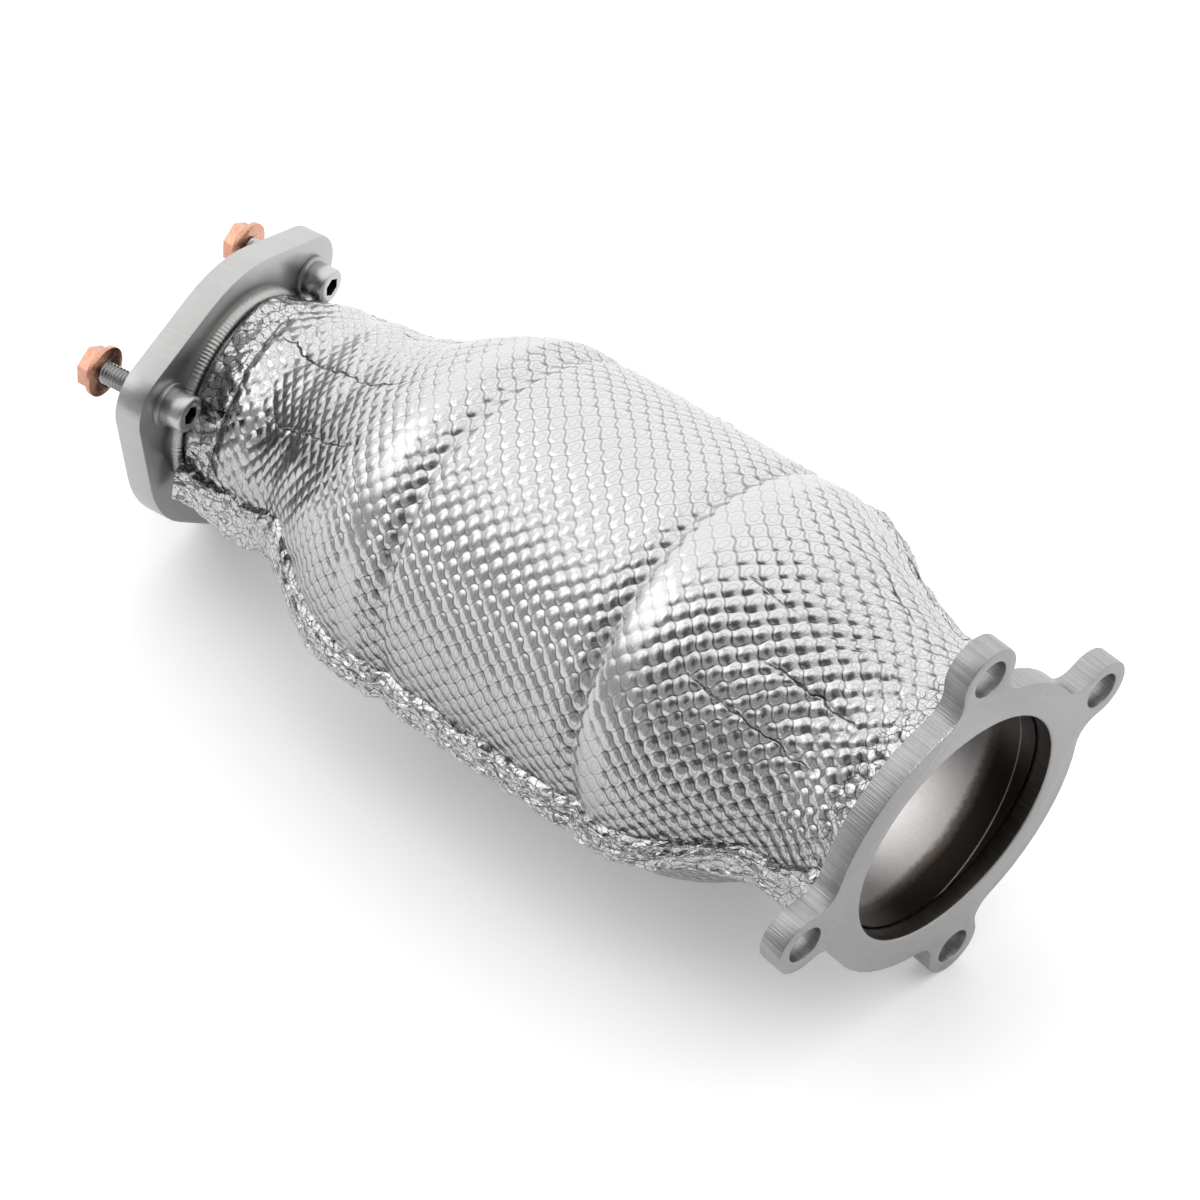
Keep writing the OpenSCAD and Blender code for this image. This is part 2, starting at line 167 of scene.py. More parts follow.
@dataclass(frozen=True)
class BodyForm:
    """Centre line and outline of the shielded body, in mm, as in the part's source.

    Stations run from the inlet face at 0 to the outlet plate at minus run: can0 and can1 are the
    ends of the body tube, bend_out and bend_in the outer ends of the two cones, lean_out and
    lean_in where the centre line leaves the body's axis, and foil0 and foil1 the foil's ends.
    """

    run: float = 310.0
    axis_y: float = 3.5
    axis_z: float = 3.0
    inlet_r: float = 39.5
    tube_r: float = 35.0
    can_r: float = 56.0
    sheet: float = 1.5
    foil_full: float = 64.4
    can0: float = -186.0
    can1: float = -90.0
    bend_out: float = -282.0
    bend_in: float = -38.0
    lean_out: float = -236.0
    lean_in: float = -85.0
    foil0: float = -305.0
    foil1: float = -9.5
    grooves: Pair = (-177.3, -96.0)
    shoulder: float = 60.0
    tilt: float = 8.0
    seam: float = 200.0
    belly: float = 2.6
    groove_depth: float = 1.5
    collar_out: float = 3.2
    collar_in: float = 4.7
    outlet_c: Triple = (-310.0, -1.4, -3.2)
    yaw_in: float = -5.2
    dip_in: float = -3.5
    yaw_out: float = 12.9
    dip_out: float = -7.8

    @property
    def n_in(self) -> Array:
        """Outward normal of the inlet face."""
        return heading(self.yaw_in, self.dip_in)

    @property
    def n_out(self) -> Array:
        """Normal of the outlet plate, towards the body."""
        return heading(self.yaw_out, self.dip_out)

    def _along(self, c: Sequence[float], n: Array, x: Array) -> Array:
        """Points at stations x on the line from c along n."""
        return np.asarray(c) + n * ((x - c[0]) / n[0])[..., None]

    def _axis(self, x: Array) -> Array:
        """Points on the body axis."""
        return np.stack([x, np.full_like(x, self.axis_y), np.full_like(x, self.axis_z)], -1)

    def _turned(self, x: Array) -> tuple[Array, Array]:
        """Shares of the way from the outlet to the body, and from the body to the inlet."""
        t_out = ease((x - self.bend_out) / (self.lean_out - self.bend_out))[..., None]
        return t_out, ease((x - self.lean_in) / (self.bend_in - self.lean_in))[..., None]

    def centre(self, x: Array) -> Array:
        """Centre line points at stations x."""
        at_out, at_in = np.full_like(x, self.bend_out), np.full_like(x, self.bend_in)
        off_out = self._along(self.outlet_c, self.n_out, at_out) - self._axis(at_out)
        off_in = self._along((0, 0, 0), self.n_in, at_in) - self._axis(at_in)
        t_out, t_in = self._turned(x)
        middle = self._axis(x) + off_out * (1 - t_out) + off_in * t_in
        outlet, inlet = (x <= self.bend_out)[..., None], (x >= self.bend_in)[..., None]
        line = np.where(outlet, self._along(self.outlet_c, self.n_out, x), middle)
        return np.where(inlet, self._along((0, 0, 0), self.n_in, x), line)

    def normal(self, x: Array) -> Array:
        """Section normals at stations x."""
        ahead = np.array([1.0, 0, 0])
        t_out, t_in = self._turned(x)
        left = unit(self.n_out * (1 - t_out) + ahead * t_out)
        right = unit(ahead * (1 - t_in) + self.n_in * t_in)
        return np.where((x < self.can0)[..., None], left, right)

    def spot(self, x: Array, r: Array, a: Array) -> Array:
        """Point at radius r and angle a (degrees) in the section at station x."""
        n = self.normal(x)
        side, lift = square_to(n)
        t = np.radians(a)[..., None]
        return self.centre(x) + (side * np.cos(t) + lift * np.sin(t)) * r[..., None]

    def steel_r(self, x: Array) -> Array:
        """Outer radius of the steel under the mat."""
        t = np.clip((x - self.bend_out) / (self.can0 - self.bend_out), 0, 1) ** 2
        left = self.tube_r + (self.can_r - self.tube_r) * ease(t)
        neck = self.inlet_r + 0.9
        t = (x - self.can1) / (self.bend_in - self.can1)
        right = self.can_r + (neck - self.can_r) * ease(t)
        return np.where(x < self.can0, left, np.where(x < self.can1, self.can_r, right))

    def hem_edge(self, x: Array) -> Array:
        """Angle of the upper edge of the front hem, which climbs towards both necks."""
        rise = (13 * ease((-226 - x) / 26) - 4 * ease((-280 - x) / 18)
                + 4 * ease((x + 70) / 25) + 14 * ease((x + 32) / 18))
        return self.seam - 5.0 - rise

    def foil_r(self, x: Array, a: Array) -> Array:
        """Radius of the foil without its embossing."""
        lag = -self.tilt * np.cos(np.radians(a - self.seam - 5))
        back = np.maximum(0, np.cos(np.radians(a - self.seam + 180))) ** 4
        lead = 9 * back * ease((x + 88) / 28)
        neck = self.tube_r + self.collar_out + 4.3 * np.clip((x + self.run - 9) / 18, 0, 1)
        full = self.foil_full
        groove = sum(self.groove_depth * bell(x - g, 3.0) for g in self.grooves)
        t = ease((x - lag - self.can0 + self.shoulder + 6) / self.shoulder)
        left = neck + (full - neck) * t
        end = ease((x + lead - self.can1 - 5) / self.shoulder)
        right = full + (self.inlet_r + self.collar_in - full) * end
        belly = self.belly * ease((x + 125) / 30) * (1 - ease((x + 60) / 25))
        under = np.maximum(0, np.sin(np.radians(a - self.seam)))
        return np.where(x < self.can0 + 12, left, right) - groove + belly * under


FORM = BodyForm()


def placed(name: str, data: bpy.types.ID) -> Piece:
    """Puts a mesh, a lamp or a camera into the scene."""
    item = bpy.data.objects.new(name, data)
    bpy.context.scene.collection.objects.link(item)
    return item


def new_piece(name: str, bm: bmesh.types.BMesh, nodes: Sequence[str] = (),
              smooth: float = 40.0) -> Piece:
    """Turns a bmesh into a finished piece that rides on the part.

    Args:
        name: name of the piece.
        bm: its mesh in metres, freed here.
        nodes: CAD nodes that it stands for.
        smooth: edges flatter than this angle in degrees are shaded smooth.

    Returns:
        The new object.
    """
    mesh = bpy.data.meshes.new(name)
    for f in bm.faces:
        f.smooth = True
    limit = math.radians(smooth)
    for e in bm.edges:
        e.smooth = not (len(e.link_faces) == 2 and e.calc_face_angle(0) > limit)
    bm.to_mesh(mesh)
    bm.free()
    piece = placed(name, mesh)
    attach(piece, BODY)
    if nodes:
        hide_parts(*nodes)
    return piece


def wear(piece: Piece, material: Material) -> Piece:
    """Gives a piece its one material."""
    piece.data.materials.clear()
    piece.data.materials.append(material)
    return piece


def mapped_sheet(columns: int, rows: int, place: Callable[[Array, Array], Array],
                 wrap_u: bool = False, wrap_v: bool = False,
                 flat_map: Callable | None = None,
                 marks: Callable | None = None) -> bmesh.types.BMesh:
    """Shapes a grid into a sheet or a ring.

    Args:
        columns: faces along u.
        rows: faces along v.
        place: gives the points in mm for arrays u and v between 0 and 1.
        wrap_u: joins the two u edges.
        wrap_v: joins the two v edges.
        flat_map: gives UV values in mm for u and v, where the finish follows the sheet.
        marks: gives named values per point, for the finish to read.

    Returns:
        The shaped bmesh in metres.
    """
    bm = bmesh.new()
    bmesh.ops.create_grid(bm, x_segments=columns, y_segments=rows, size=1.0)
    co = np.array([v.co[:2] for v in bm.verts])
    u, v = (co[:, 0] + 1) / 2, (co[:, 1] + 1) / 2
    points = place(u, v) * MM
    for vert, p in zip(bm.verts, points):
        vert.co = p
    for name, values in (marks(u, v) if marks else {}).items():
        mark = bm.verts.layers.float.new(name)
        for vert, value in zip(bm.verts, values):
            vert[mark] = value
    if flat_map:
        layer = bm.loops.layers.uv.new("sheet")
        s, t = flat_map(u, v)
        bm.verts.index_update()
        for f in bm.faces:
            for loop in f.loops:
                loop[layer].uv = (s[loop.vert.index], t[loop.vert.index])
    if wrap_u or wrap_v:
        bmesh.ops.remove_doubles(bm, verts=bm.verts, dist=MERGE)
    return bm


@dataclass(frozen=True)
class Crease:
    """A line pressed into the foil: stations and angles, depth and width in mm."""

    line: tuple[Pair, ...]
    depth: float = 0.8
    width: float = 1.1


# The hem's section at each share of the way round it: share of the flap's width, shift back in mm,
# share of the roll's height, and extra height in mm.
HEM_KEYS = (0, 0.05, 0.11, 0.25, 0.4, 0.52, 0.6, 0.7, 0.8, 0.88, 0.94, 1)
HEM_ROWS = (
    (1, 1.03, 0.97, 0.75, 0.45, 0.18, 0, 0, 0, 0, 0.3, 1),
    (0, 0, 0, 0, 0, 0, 0, -1.8, -3.2, -3.4, -1.0, 0),
    (0, 0, 0.18, 0.4, 0.62, 0.86, 1.0, 0.92, 0.55, 0.1, 0, 0),
    (-2.0, -0.4, 0.7, 0.6, 0.4, 0.1, 0, 0, -0.2, -1.2, -2.2, -2.0),
)
FAR = 9.0  # distance in mm that counts as away from every crease


@dataclass
class FoilShield:
    """Two pressed foil halves, joined by crumpled hems."""

    form: BodyForm = FORM
    pitch_x: float = 7.22
    pitch_a: float = 6.9
    dome: float = 0.15
    phase_x: float = -173.0
    phase_a: float = 136.3
    columns: int = 350
    rows: int = 282
    lip: int = 4
    strip: float = 10.5
    hem_grid: tuple[int, int] = (470, 64)
    hem_size: Pair = (290.0, 42.0)
    creases: tuple[Crease, ...] = (
        Crease(((-292, 98), (-284, 101), (-276, 105.6), (-250, 108), (-239, 109),
                (-223, 111.6), (-207, 105))),
        Crease(((-277, 137.8), (-263, 139.8), (-252, 140.5), (-241, 139.8), (-233, 138),
                (-217, 134.5), (-209, 131))),
        Crease(((-56, 121), (-45, 121), (-35, 120.7), (-23, 120.4))),
        Crease(((-69, 136.5), (-61, 138.2), (-48, 140.4), (-41, 142.4), (-36, 143.4),
                (-26, 143.4))),
        Crease(((-284, 86), (-277.5, 93)), 0.4),
        Crease(((-294.2, 82), (-294.2, 96.7), (-292.2, 131.7), (-292.8, 149.9), (-295, 176)),
               0.5, 0.9),
        Crease(((-72, 105), (-56, 104.4)), 0.4),
        Crease(((-255, 62), (-232, 70), (-214, 68)), 0.7),
        Crease(((-60, 62), (-38, 70)), 0.6),
        Crease(((-250, 250), (-226, 262), (-212, 255)), 0.8),
        Crease(((-262, 300), (-236, 312)), 0.8),
        Crease(((-66, 262), (-40, 268), (-26, 266)), 0.8),
        Crease(((-62, 318), (-36, 306)), 0.8),
    )

    def _meridian(self, x: Array) -> Array:
        """Length along the foil from the first dome row to station x."""
        xs = np.linspace(self.form.foil0 - 2, self.form.foil1 + 2, 1200)
        r = self.form.foil_r(xs, np.full_like(xs, 129.0))
        steps = np.hypot(np.diff(xs), np.diff(r))
        lengths = np.concatenate([[0], np.cumsum(steps)])
        return np.interp(x, xs, lengths) - np.interp(self.phase_x, xs, lengths)

    def _sheet(self, x: Array, a: Array) -> tuple[Array, Array]:
        """Place on the flat patterned sheet, in mm from a dome centre."""
        s = self._meridian(x)
        t = np.radians(a - self.phase_a) * self.form.foil_r(x, a)
        return s + 0.5 * ripple(s, t, 34, 5), t + 0.4 * ripple(s, t, 30, 6)

    def _folds(self, x: Array, a: Array) -> tuple[Array, Array, Array]:
        """Pressed depth, signed distance to the nearest crease, and how near it is (0 to 1)."""
        r = self.form.foil_r(x, a)
        arc = np.radians(a) * r
        depth, side, near = np.zeros_like(x), np.full_like(x, FAR), np.zeros_like(x)
        for crease in self.creases:
            gap, sign, share = np.full_like(x, 1e3), np.ones_like(x), np.zeros_like(x)
            for i, ((x0, a0), (x1, a1)) in enumerate(zip(crease.line, crease.line[1:])):
                y0, dx, dy = math.radians(a0) * r, x1 - x0, math.radians(a1 - a0) * r
                t = np.clip(((x - x0) * dx + (arc - y0) * dy) / (dx * dx + dy * dy), 0, 1)
                across, beside = arc - y0 - t * dy, x - x0 - t * dx
                far = np.hypot(beside, across)
                hand = np.where(across * dx - beside * dy > 0, 1.0, -1.0)
                sign = np.where(far < gap, hand, sign)
                share = np.where(far < gap, (i + t) / (len(crease.line) - 1), share)
                gap = np.minimum(gap, far)
            wide = np.exp(-gap / (4 * crease.width)) * 0.35 + np.exp(-gap / crease.width) * 0.65
            depth += crease.depth * wide
            sway = 0.5 * ripple(x, arc, 8, 17) + 0.3 * ripple(x, arc, 3.2, 18)
            side_now = gap * sign + sway
            ends = ease(share / 0.12) * ease((1 - share) / 0.12)
            this = np.clip(1.6 - gap / 2.5, 0, 1) * ends * crease.depth
            side = np.where(gap < np.abs(side), side_now, side)
            near = np.maximum(near, this)
        return depth, side, near

    def _zones(self, x: Array) -> tuple[Array, Array, Array]:
        """Shares of the buckled bands, the flattened bands and the crushed end strips."""
        f = self.form
        g0, g1 = f.grooves
        band = (ease((x - g0 + 10.5) / 1.5) * ease((g0 - x + 1.0) / 1.5)
                + ease((x - g1 + 8.5) / 1.5) * ease((g1 - x + 1.0) / 1.5))
        flat = (ease((x - g0 + 19) / 1.2) * ease((g0 - 10.0 - x) / 1.5)
                + ease((x - g1 - 1.5) / 1.5) * ease((g1 + 13 - x) / 1.2))
        edge = 1 - ease((x - f.foil0 - self.strip - 1.5) / 3) + ease((x - f.foil1 + self.strip) / 3)
        return band, flat, edge

    def relief(self, x: Array, a: Array) -> Array:
        """Height of the embossing, the buckled bands, the creases and the dents, in mm."""
        s, t = self._sheet(x, a)
        band, flat, edge = self._zones(x)
        wave = np.cos(math.tau * s / self.pitch_x) * np.cos(math.tau * t / self.pitch_a)
        strength = 1 - 0.6 * flat + 0.4 * band + 0.6 * ease((x + 80) / 20)
        out = self.dome * wave * strength * (1 - 0.6 * edge)
        out += 0.25 * flat - 0.15 * band * crumple(x, t, 3.1, 21)
        out += edge * (0.9 * crumple(x, t, 4.2, 11) + 0.4 * crumple(x, t, 1.9, 12) - 1.0)
        rough = ease((-200 - x) / 20) + ease((x + 80) / 20)
        out += 0.5 * rough * ripple(x, t, 19, 3) + 0.14 * ripple(x, t, 30, 4)
        out += 0.3 * rough * (crumple(x, t, 9.0, 31) - 0.5)
        return out - self._folds(x, a)[0]

    def build_half(self, half: Half, node: str) -> Piece:
        """Makes one pressed half.

        Args:
            half: upper or lower.
            node: CAD node that it stands for.

        Returns:
            The piece.
        """
        f, lip = self.form, self.lip
        first, last = (f.seam, f.seam - 180) if half is Half.UPPER else (f.seam + 180, f.seam)

        def spread(u: Array, v: Array) -> tuple[Array, Array, Array]:
            """Station, angle, and share of the turned-in lip."""
            k = u * self.columns
            x = f.foil0 + (f.foil1 - f.foil0) * (k - lip) / (self.columns - 2 * lip)
            tuck = (np.clip((lip - k) / lip, 0, 1)
                    + np.clip((k - self.columns + lip) / lip, 0, 1))
            return np.clip(x, f.foil0, f.foil1), first + (last - first) * v, tuck

        def place(u: Array, v: Array) -> Array:
            """Points of the sheet."""
            x, a, tuck = spread(u, v)
            r = f.foil_r(x, a) + self.relief(x, a)
            steel = np.where(x < -100, f.steel_r(x) + 0.35, r - 1.3)
            return f.spot(x, r + (steel - r) * tuck ** 0.7, a)

        def marks(u: Array, v: Array) -> dict[str, Array]:
            """Strength of the embossing, crushing and fold lines, and how low on the body a point
            lies, for painted shade.
            """
            x, a, _ = spread(u, v)
            band, flat, edge = self._zones(x)
            _, side, near = self._folds(x, a)
            rough = ease((-205 - x) / 25) + ease((x + 75) / 30)
            return {"press": (1 - 0.6 * flat + 0.2 * band + 0.6 * ease((x + 84) / 22)
                              - 0.4 * ease((-210 - x) / 20)) * (1 - 0.4 * edge),
                    "crush": np.clip(0.8 * edge + 0.2 * band + 0.35 * rough, 0, 1),
                    "side": side, "near": near,
                    # under: painted shade over the lower side of the foil, which faces the floor.
                    "under": ease((a - 146) / 28) * (1 - ease((a - 345) / 30))}

        bm = mapped_sheet(self.columns, self.rows, place, marks=marks,
                          flat_map=lambda u, v: self._sheet(*spread(u, v)[:2]))
        return new_piece(node + "_foil", bm, [node], smooth=180)

    def build_hem(self, seam: Seam) -> Piece:
        """Makes the crumpled hem folded over a seam.

        Args:
            seam: front or back.

        Returns:
            The piece.
        """
        f = self.form
        front = seam is Seam.FRONT
        angle = f.seam if front else f.seam - 180
        seed = 40 if front else 60

        def place(u: Array, v: Array) -> Array:
            """Points: u along the seam, v from the hem's upper edge over the fold and back."""
            v = np.where(v > LAST, 0.0, v)
            x = f.foil0 - 1.4 + (f.foil1 - f.foil0 + 1.1) * u
            r = f.foil_r(x, np.full_like(x, angle))
            if front:
                up = np.radians(angle - f.hem_edge(x)) * r
                reach = 6.6 + 0.6 * ease((-200 - x) / 20)
            else:
                up = 5.0 + 3.0 * ease((x + 95) / 30)
                reach = 6.0 - 2.0 * ease((x + 95) / 35)
            share, back, high, low = (np.interp(v, HEM_KEYS, row) for row in HEM_ROWS)
            around = v * self.hem_size[1]
            skin = np.clip(v * 14, 0, 1) * np.interp(v, (0.84, 0.92), (1, 0))
            fold = (0.7 * ripple(x, around, 13, seed)
                    + 2.2 * (crumple(x, around, 4.6, seed + 1) - 0.5))
            fold = fold + 1.3 * (crumple(x + 3, around, 2.4, seed + 5) - 0.5)
            side = (2.0 * (crumple(x - 7, around, 3.6, seed + 9) - 0.5)
                    + 0.6 * ripple(x, around, 9, seed + 2))
            height = high * reach + low + skin * fold * 0.5
            wavy = np.interp(v, (0, 0.05, 0.25, 0.9, 1), (1, 1, 0.2, 0, 1))
            wave = wavy * ripple(x, x * 0, 15, seed + 3)
            along = up * share + back + skin * side * 0.6 + 0.9 * wave
            turned = angle - (1 if front else -1) * np.degrees(along / r)
            return f.spot(x, f.foil_r(x, turned) + height, turned)

        even = {"press": 0.45, "crush": 1, "side": FAR, "near": 0, "under": 0}
        long, round_it = self.hem_size
        bm = mapped_sheet(*self.hem_grid, place, wrap_v=True,
                          flat_map=lambda u, v: (u * long, v * round_it),
                          marks=lambda u, v: {k: np.full_like(u, m) for k, m in even.items()})
        bmesh.ops.holes_fill(bm, edges=[e for e in bm.edges if e.is_boundary], sides=0)
        bmesh.ops.recalc_face_normals(bm, faces=bm.faces)
        return new_piece("hem_" + seam.value, bm,
                         ["shield_upper", "shield_lower"], smooth=22)

    def build(self, material: Material) -> list[Piece]:
        """Makes and dresses all foil pieces."""
        halves = [self.build_half(half, "shield_" + half.value) for half in Half]
        hems = [self.build_hem(seam) for seam in Seam]
        return [wear(p, material) for p in halves + hems]


def _sign(operation: str, swapped: bool = False) -> Callable:
    """Makes an arithmetic sign for signals.

    Args:
        operation: kind of the math node.
        swapped: puts the other value first.

    Returns:
        The method that adds the node.
    """
    def apply(self: "Signal", other: "Signal | float") -> "Signal":
        """The math node's result."""
        return self.nodes.math(operation, *((other, self) if swapped else (self, other)))
    return apply


@dataclass(frozen=True)
class Signal:
    """An output in a shader tree, for plain arithmetic."""

    nodes: "Nodes"
    socket: bpy.types.NodeSocket

    __add__, __sub__, __mul__, __truediv__ = map(_sign, ("ADD", "SUBTRACT", "MULTIPLY", "DIVIDE"))
    __radd__, __rsub__ = _sign("ADD", True), _sign("SUBTRACT", True)
    at_least, at_most = _sign("MAXIMUM"), _sign("MINIMUM")

    def __abs__(self) -> "Signal":
        """Size without the sign."""
        return self.nodes.math("ABSOLUTE", self)


Outputs = dict[str | int, Signal]
Inputs = dict[str | int, object]


class Nodes:
    """Small helper that adds and links shader nodes in one tree."""

    def __init__(self, tree: NodeTree) -> None:
        """Keeps the tree."""
        self.tree = tree

    def feed(self, node: bpy.types.Node, inputs: Inputs) -> None:
        """Links signals to a node's inputs, and sets the others to plain values."""
        for key, value in inputs.items():
            if isinstance(value, Signal):
                self.tree.links.new(value.socket, node.inputs[key])
            else:
                node.inputs[key].default_value = value

    def read(self, node: bpy.types.Node) -> Outputs:
        """A node's outputs, by name and by number."""
        return {key: Signal(self, socket) for i, socket in enumerate(node.outputs)
                for key in (i, socket.name)}

    def add(self, kind: str, inputs: Inputs | None = None, **settings: object) -> Outputs:
        """Adds a node.

        Args:
            kind: node type without the ShaderNode prefix.
            inputs: values or signals for its inputs.
            settings: properties of the node.

        Returns:
            Its outputs.
        """
        node = self.tree.nodes.new("ShaderNode" + kind)
        for key, value in settings.items():
            setattr(node, key, value)
        self.feed(node, inputs or {})
        return self.read(node)

    def math(self, operation: str, *values: Signal | float) -> Signal:
        """Adds a math node and gives its result."""
        return self.add("Math", dict(enumerate(values)), operation=operation)[0]

    def vector(self, operation: str, *values: object) -> Signal:
        """Adds a vector math node and gives its result."""
        made = self.add("VectorMath", dict(enumerate(values)), operation=operation)
        return made["Value" if operation == "DOT_PRODUCT" else 0]

    def span(self, value: Signal, start: float, end: float, low: float = 0.0, high: float = 1.0,
             kind: str = "SMOOTHSTEP") -> Signal:
        """Maps a value from one span to another.

        Args:
            value: what is mapped.
            start: value that gives low.
            end: value that gives high.
            low: result at the start.
            high: result at the end.
            kind: way of the change between them.

        Returns:
            The result, held outside the span.
        """
        ends = {"Value": value, "From Min": start, "From Max": end, "To Min": low, "To Max": high}
        return self.add("MapRange", ends, interpolation_type=kind)[0]

    def warped(self, place: Signal, scale: float, detail: float, reach: float) -> Signal:
        """Shifts flat places by a soft noise of the given scale, detail and reach."""
        drift = self.add("TexNoise", {"Vector": place, "Scale": scale, "Detail": detail})["Color"]
        away = self.vector("SUBTRACT", drift, (0.5, 0.5, 0.5))
        return self.vector("MULTIPLY_ADD", away, (reach, reach, 0.0), place)

    def ramp(self, value: Signal, stops: Sequence[tuple]) -> Signal:
        """Colour ramp through (place, grey or colour) stops."""
        node = self.tree.nodes.new("ShaderNodeValToRGB")
        self.feed(node, {"Fac": value})
        ramp = node.color_ramp
        while len(ramp.elements) < len(stops):
            ramp.elements.new(0.5)
        for element, (place, colour) in zip(ramp.elements, stops):
            element.position = place
            rgb = (colour,) * 3 if isinstance(colour, (int, float)) else tuple(colour)
            element.color = rgb + (1.0,)
        return self.read(node)[0]


def group(name: str, inputs: Inputs, build: Callable[[Nodes, Outputs], Outputs]) -> NodeTree:
    """Makes a node group.

    Args:
        name: its name.
        inputs: names and default values.
        build: adds its nodes, and gives its outputs by name.

    Returns:
        The tree.
    """
    tree = bpy.data.node_groups.new(name, "ShaderNodeTree")
    for key, value in inputs.items():
        vector = isinstance(value, tuple)
        kind = "NodeSocketVector" if vector else "NodeSocketFloat"
        socket = tree.interface.new_socket(key, in_out="INPUT", socket_type=kind)
        if not vector:
            socket.default_value = value
    n = Nodes(tree)
    outputs = build(n, n.read(tree.nodes.new("NodeGroupInput")))
    for key in outputs:
        tree.interface.new_socket(key, in_out="OUTPUT", socket_type="NodeSocketFloat")
    n.feed(tree.nodes.new("NodeGroupOutput"), outputs)
    return tree


def grain_group() -> NodeTree:
    """Fine uneven grain: a mask for colour and roughness, and a height."""
    def build(n: Nodes, src: Outputs) -> Outputs:
        """Mixes a fine noise with a patchy one."""
        fine = n.add("TexNoise", {"Vector": src["Vector"], "Scale": src["Scale"],
                                  "Detail": 4.0, "Roughness": 0.6})[0]
        patch = n.add("TexNoise", {"Vector": src["Vector"], "Scale": src["Patch"],
                                   "Detail": 3.0, "Roughness": 0.55})[0]
        return {"Mask": fine * 0.45 + patch * 0.55, "Height": fine}

    return group("fine_grain", {"Vector": (0, 0, 0), "Scale": 400.0, "Patch": 30.0}, build)


def embossing_group(pitch_x: float, pitch_a: float) -> NodeTree:
    """Rows of pressed pillows on the flat sheet: a height, and painted shade along the thin lines
    between them.
    """
    def build(n: Nodes, src: Outputs) -> Outputs:
        """Works in pitches along the two diagonals of the pattern."""
        at = n.add("SeparateXYZ", {0: n.warped(src["Vector"], 0.16, 2.0, 2.0)})
        u, v = at[0] / pitch_x, at[1] / pitch_a

        def off(value: Signal) -> Signal:
            """Distance from the middle of the nearest pillow."""
            return abs(n.math("FRACT", value + 100.5) - 0.5)

        def sway(value: Signal, size: float) -> Signal:
            """Sideways swing of a row border."""
            return n.math("SINE", value * math.tau) * size

        def arch(value: Signal) -> Signal:
            """Drop from the middle of a pillow to a rounded valley at its border."""
            past = (value - 0.44).at_least(0.0)
            return value * value * 3.2 - past * past * 26.7

        p, q = u + v, u - v
        m, k = off(p + sway(q, 0.05)), off(q + sway(p, 0.06))
        far = n.math("SQRT", m * m + k * k)
        # Painted shade for the colour: inner oval rings, valley lines along the pillow borders and
        # dark corners.
        oval = 0.36 - n.span(abs(far - 0.27), 0.01, 0.05, 0.0, 0.36)
        edge = n.span(k, 0.4, 0.48, 0.0, 0.62).at_least(n.span(m, 0.43, 0.5, 0.0, 0.45))
        corner = n.span(m + k, 0.78, 0.98, 0.0, 0.85)
        return {"Height": 0.8 - (arch(m) + arch(k)), "Line": edge.at_least(corner).at_least(oval)}

    return group("embossing", {"Vector": (0, 0, 0)}, build)


def crinkle_group() -> NodeTree:
    """Crushed foil: facets tilted at random, and painted shade along the thin folds between them.
    """
    def build(n: Nodes, src: Outputs) -> Outputs:
        """Tilts each cell of a warped pattern by its own random colour."""
        bent = n.warped(n.vector("DIVIDE", src["Vector"], src["Size"]), 0.9, 3.0, 1.3)
        flat = {"Vector": bent, "Scale": 1.0}
        cell = n.add("TexVoronoi", flat, voronoi_dimensions="2D")
        seam = n.add("TexVoronoi", flat, voronoi_dimensions="2D", feature="DISTANCE_TO_EDGE")
        facet = n.vector("DOT_PRODUCT", n.vector("SUBTRACT", bent, cell["Position"]),
                         n.vector("SUBTRACT", cell["Color"], (0.5, 0.5, 0.5)))
        # The second output is painted shade along the folds between facets, for the colour.
        return {"Height": facet * 2.0, "Line": n.span(seam["Distance"], 0.01, 0.075, 1.0, 0.0)}

    return group("crinkle", {"Vector": (0, 0, 0), "Size": 2.0}, build)


def new_material(name: str) -> tuple[Material, Nodes, bpy.types.Node]:
    """Starts a material, and gives it with its node helper and its surface shader."""
    material = bpy.data.materials.new(name)
    material.use_nodes = True
    return material, Nodes(material.node_tree), material.node_tree.nodes["Principled BSDF"]


